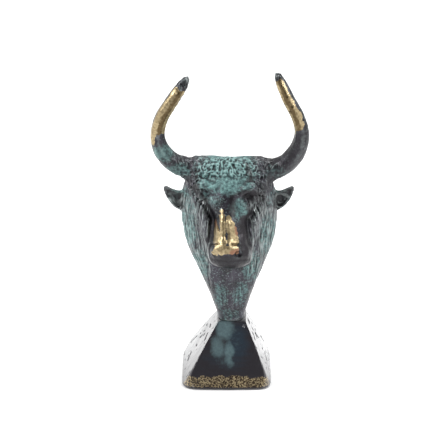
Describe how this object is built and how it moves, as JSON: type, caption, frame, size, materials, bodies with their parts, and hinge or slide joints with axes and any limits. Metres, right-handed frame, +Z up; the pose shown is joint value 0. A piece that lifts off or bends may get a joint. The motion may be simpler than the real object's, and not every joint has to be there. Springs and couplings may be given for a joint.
{
  "type": "minotaur bust",
  "caption": "Small cast bronze bust of the Minotaur as a bull's head with tall lyre horns, on a tapering neck and a pyramid plinth, dark and green with polished golden parts.",
  "frame": {"origin": "middle of the plinth's flat underside, on the surface that the bust stands on", "axes": "+Z up, the face looks towards -Y, +X to the right as seen from in front"},
  "size_m": [0.0776, 0.053, 0.1629],
  "materials": {
    "bust_bronze": "cast bronze with a waxed near-black brown patina, verdigris green over the forelock, neck and hollows, and rubbed golden on the horn fronts and the nose",
    "plinth_bronze": "cast bronze with a glossy near-black patina, a green wash running down from the neck, and a speckled golden strip along the front foot"
  },
  "bodies": {
    "root": {"bust": "bust_bronze", "plinth": "plinth_bronze"}
  },
  "joints": []
}
